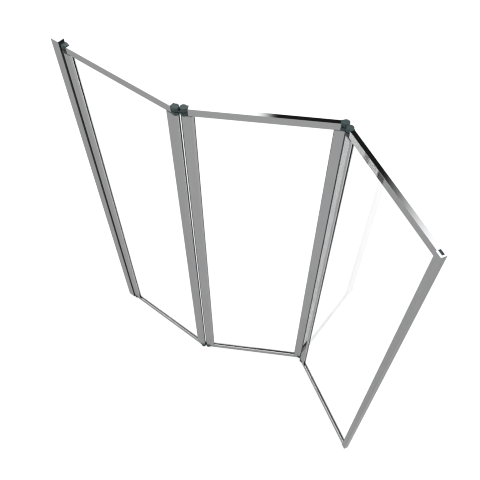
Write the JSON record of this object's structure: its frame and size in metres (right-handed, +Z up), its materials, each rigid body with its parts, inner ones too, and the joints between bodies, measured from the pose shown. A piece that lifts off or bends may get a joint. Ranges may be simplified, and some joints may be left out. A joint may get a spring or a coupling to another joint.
{
  "type": "folding bath screen",
  "caption": "Wall-hung folding bath screen: framed clear glass panels joined by double-pivot hinges so that they fold flat against one another.",
  "frame": {"origin": "on the wall, at the foot of the wall profile and on its centre plane", "axes": "+X leaves the wall along the first panel, +Z is up, +Y is the side the panels stack on when folded"},
  "size_m": [1.1861, 0.2331, 1.4],
  "materials": {
    "polished_aluminium": "bright polished extrusion",
    "clear_glass": "clear toughened glass",
    "black_rubber": "matt black glazing rubber",
    "clear_vinyl": "clear flexible vinyl",
    "slate_plastic": "satin dark slate-green moulding",
    "white_nylon": "natural nylon",
    "black_metal": "black coated zinc",
    "stainless_steel": "turned stainless steel"
  },
  "bodies": {
    "wall_fixing": {"adjusting_post": "polished_aluminium", "fixing_screws": "stainless_steel", "profile_cover": "polished_aluminium", "wall_bracket_bottom": "black_metal", "wall_bracket_top": "black_metal", "wall_hinge_pins": "stainless_steel", "wall_hinge_washers": "white_nylon", "wall_profile": "polished_aluminium", "wall_seal": "black_rubber"},
    "panel_1": {"panel_1_cap_bottom_left": "slate_plastic", "panel_1_cap_bottom_right": "slate_plastic", "panel_1_cap_top_left": "slate_plastic", "panel_1_cap_top_right": "slate_plastic", "panel_1_drip_seal": "clear_vinyl", "panel_1_gasket": "black_rubber", "panel_1_glass": "clear_glass", "panel_1_rail_bottom": "polished_aluminium", "panel_1_rail_top": "polished_aluminium", "panel_1_stile_left": "polished_aluminium", "panel_1_stile_right": "polished_aluminium"},
    "middle_link": {"middle_hinge_link_bottom": "black_metal", "middle_hinge_link_top": "black_metal", "middle_hinge_pins": "stainless_steel", "middle_hinge_washers": "white_nylon"},
    "panel_2": {"panel_2_cap_bottom_left": "slate_plastic", "panel_2_cap_bottom_right": "slate_plastic", "panel_2_cap_top_left": "slate_plastic", "panel_2_cap_top_right": "slate_plastic", "panel_2_drip_seal": "clear_vinyl", "panel_2_gasket": "black_rubber", "panel_2_glass": "clear_glass", "panel_2_rail_bottom": "polished_aluminium", "panel_2_rail_top": "polished_aluminium", "panel_2_stile_left": "polished_aluminium", "panel_2_stile_right": "polished_aluminium"},
    "outer_link": {"outer_hinge_link_bottom": "black_metal", "outer_hinge_link_top": "black_metal", "outer_hinge_pins": "stainless_steel", "outer_hinge_washers": "white_nylon"},
    "panel_3": {"panel_3_cap_bottom_left": "slate_plastic", "panel_3_cap_top_left": "slate_plastic", "panel_3_corner_keys": "slate_plastic", "panel_3_drip_seal": "clear_vinyl", "panel_3_gasket": "black_rubber", "panel_3_glass": "clear_glass", "panel_3_rail_bottom": "polished_aluminium", "panel_3_rail_top": "polished_aluminium", "panel_3_stile_free": "polished_aluminium", "panel_3_stile_left": "polished_aluminium"}
  },
  "joints": [
    {"name": "wall_hinge", "type": "hinge", "parent": "wall_fixing", "child": "panel_1", "pos_m": [0.0405, 0, 0], "axis": [0, 0, 1], "range_deg": [-90, 0]},
    {"name": "middle_hinge_near", "type": "hinge", "parent": "panel_1", "child": "middle_link", "pos_m": [0.4455, 0, 0], "axis": [0, 0, 1], "range_deg": [-30, 60]},
    {"name": "middle_hinge_far", "type": "hinge", "parent": "middle_link", "child": "panel_2", "pos_m": [0.46325, 0.01025, 0], "axis": [0, 0, 1], "range_deg": [0, 90]},
    {"name": "outer_hinge_near", "type": "hinge", "parent": "panel_2", "child": "outer_link", "pos_m": [0.81399, 0.21275, 0], "axis": [0, 0, 1], "range_deg": [-30, 60]},
    {"name": "outer_hinge_far", "type": "hinge", "parent": "outer_link", "child": "panel_3", "pos_m": [0.83175, 0.2025, 0], "axis": [0, 0, 1], "range_deg": [-90, 0]}
  ]
}
